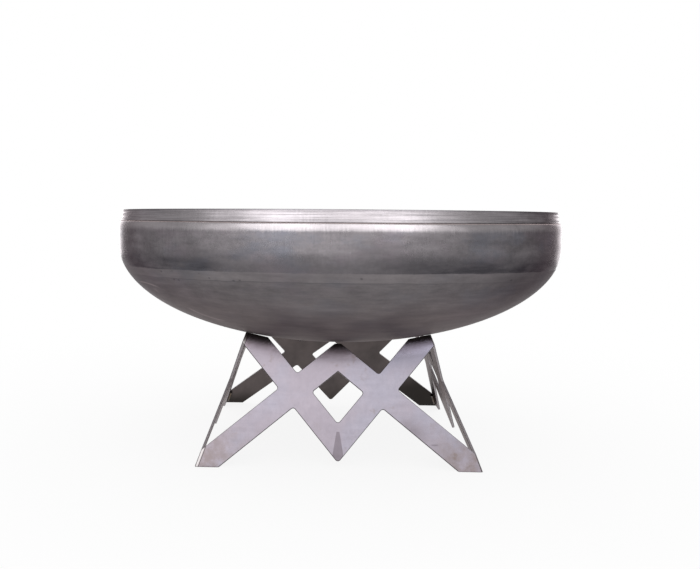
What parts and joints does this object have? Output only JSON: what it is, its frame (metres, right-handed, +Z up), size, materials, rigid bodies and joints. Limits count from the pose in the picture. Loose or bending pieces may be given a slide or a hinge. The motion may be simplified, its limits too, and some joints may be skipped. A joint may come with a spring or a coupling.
{
  "type": "fire pit",
  "caption": "Round steel fire bowl with a joggled lip, lying loose on a square base of leaning plates cut as crossed bars with a diamond between them.",
  "frame": {"origin": "on the ground, in the middle of the base", "axes": "+Z up the axis of the bowl, and the front plate faces -Y"},
  "size_m": [0.9144, 0.9144, 0.4798],
  "materials": {
    "bowl_steel": "bare mill steel, satin, with spun lines on the lip and fine brush marks on the wall",
    "panel_steel": "bare blasted plate, satin grey, with faint brown stains",
    "weld_steel": "rippled weld metal, dull"
  },
  "bodies": {
    "base": {"front_panel": "panel_steel", "right_panel": "panel_steel", "back_panel": "panel_steel", "left_panel": "panel_steel", "foot_weld_front_right": "weld_steel", "foot_weld_back_right": "weld_steel", "foot_weld_back_left": "weld_steel", "foot_weld_front_left": "weld_steel", "arm_weld_front_right": "weld_steel", "arm_weld_back_right": "weld_steel", "arm_weld_back_left": "weld_steel", "arm_weld_front_left": "weld_steel"},
    "bowl": {"fire_bowl": "bowl_steel"}
  },
  "joints": [
    {"name": "bowl_lift", "type": "slide", "parent": "base", "child": "bowl", "axis": [0, 0, 1], "range_m": [0, 0.3]}
  ]
}
